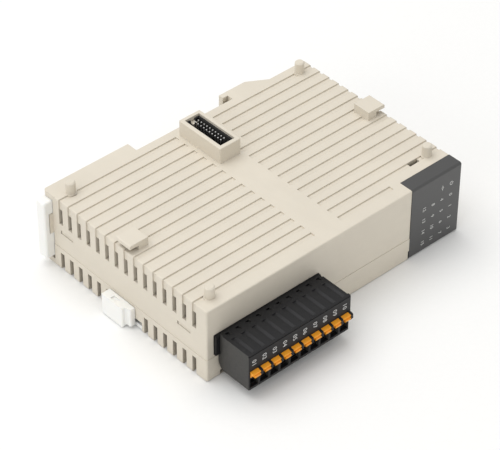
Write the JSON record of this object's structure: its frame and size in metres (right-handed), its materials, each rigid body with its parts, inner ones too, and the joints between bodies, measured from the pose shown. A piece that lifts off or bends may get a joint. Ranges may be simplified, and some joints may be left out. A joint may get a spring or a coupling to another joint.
{
  "type": "plc module",
  "caption": "Slim rail-mounted controller input module with plug-in push terminals, smoked indicator window, sliding rail clip and side bus connector.",
  "frame": {"origin": "centre of the rail seat: middle of the housing's length on the rear face, half way through the thickness", "axes": "+X along the height towards the indicator window, -Y out of the front face with the terminals, +Y out of the rear face at the rail, +Z out of the ribbed side face with the bus header"},
  "size_m": [0.1066, 0.0865, 0.0316],
  "materials": {
    "housing": "fine moulded grain, ivory",
    "clip": "smooth white",
    "window": "dark smoked, satin",
    "light_guide": "clear",
    "led": "clear over yellow",
    "board": "green solder mask",
    "connector_black": "moulded, black",
    "chip": "moulded epoxy",
    "capacitor_can": "bright can",
    "ceramic": "fired ceramic",
    "crystal_can": "drawn can",
    "pin_gold": "gold plated",
    "pin_tin": "tin plated",
    "contact_brass": "bright",
    "spring_steel": "bright",
    "button": "orange, satin"
  },
  "bodies": {
    "housing": {"upper_shell": "housing", "lower_shell": "housing", "indicator_window": "window", "light_guide": "light_guide", "status_leds": "led", "indicator_board": "board", "main_board": "board", "bus_header_body": "connector_black", "bus_header_pins": "pin_tin", "bus_socket_body": "connector_black", "bus_socket_contacts": "pin_gold", "board_link_body": "connector_black", "board_link_pins": "pin_gold", "processor_chip": "chip", "converter_chips": "chip", "isolator_chips": "chip", "power_converter": "chip", "filter_capacitors": "capacitor_can", "ceramic_capacitors": "ceramic", "crystal": "crystal_can", "terminal_header_body": "connector_black", "terminal_header_pins": "pin_tin"},
    "terminal_plug": {"plug_housing": "connector_black", "clamp_contacts": "contact_brass", "clamp_springs": "spring_steel"},
    "din_clip": {"din_clip": "clip"},
    "latch_slider_left": {"latch_slider_left": "clip"},
    "latch_slider_right": {"latch_slider_right": "clip"},
    "release_button_1": {"release_button_1": "button"},
    "release_button_2": {"release_button_2": "button"},
    "release_button_3": {"release_button_3": "button"},
    "release_button_4": {"release_button_4": "button"},
    "release_button_5": {"release_button_5": "button"},
    "release_button_6": {"release_button_6": "button"},
    "release_button_7": {"release_button_7": "button"},
    "release_button_8": {"release_button_8": "button"},
    "release_button_9": {"release_button_9": "button"},
    "release_button_10": {"release_button_10": "button"}
  },
  "joints": [
    {"name": "din_clip_slide", "type": "slide", "parent": "housing", "child": "din_clip", "axis": [-1, 0, 0], "range_m": [0, 0.0044]},
    {"name": "latch_left_slide", "type": "slide", "parent": "housing", "child": "latch_slider_left", "axis": [0, 1, 0], "range_m": [0, 0.0035]},
    {"name": "latch_right_slide", "type": "slide", "parent": "housing", "child": "latch_slider_right", "axis": [0, 1, 0], "range_m": [0, 0.0035]},
    {"name": "plug_withdrawal", "type": "slide", "parent": "housing", "child": "terminal_plug", "axis": [0, -1, 0], "range_m": [0, 0.015]},
    {"name": "button_1_press", "type": "slide", "parent": "terminal_plug", "child": "release_button_1", "axis": [0, 1, 0], "range_m": [0, 0.0012], "stiffness_N_per_m": 2000},
    {"name": "button_2_press", "type": "slide", "parent": "terminal_plug", "child": "release_button_2", "axis": [0, 1, 0], "range_m": [0, 0.0012], "stiffness_N_per_m": 2000},
    {"name": "button_3_press", "type": "slide", "parent": "terminal_plug", "child": "release_button_3", "axis": [0, 1, 0], "range_m": [0, 0.0012], "stiffness_N_per_m": 2000},
    {"name": "button_4_press", "type": "slide", "parent": "terminal_plug", "child": "release_button_4", "axis": [0, 1, 0], "range_m": [0, 0.0012], "stiffness_N_per_m": 2000},
    {"name": "button_5_press", "type": "slide", "parent": "terminal_plug", "child": "release_button_5", "axis": [0, 1, 0], "range_m": [0, 0.0012], "stiffness_N_per_m": 2000},
    {"name": "button_6_press", "type": "slide", "parent": "terminal_plug", "child": "release_button_6", "axis": [0, 1, 0], "range_m": [0, 0.0012], "stiffness_N_per_m": 2000},
    {"name": "button_7_press", "type": "slide", "parent": "terminal_plug", "child": "release_button_7", "axis": [0, 1, 0], "range_m": [0, 0.0012], "stiffness_N_per_m": 2000},
    {"name": "button_8_press", "type": "slide", "parent": "terminal_plug", "child": "release_button_8", "axis": [0, 1, 0], "range_m": [0, 0.0012], "stiffness_N_per_m": 2000},
    {"name": "button_9_press", "type": "slide", "parent": "terminal_plug", "child": "release_button_9", "axis": [0, 1, 0], "range_m": [0, 0.0012], "stiffness_N_per_m": 2000},
    {"name": "button_10_press", "type": "slide", "parent": "terminal_plug", "child": "release_button_10", "axis": [0, 1, 0], "range_m": [0, 0.0012], "stiffness_N_per_m": 2000}
  ]
}
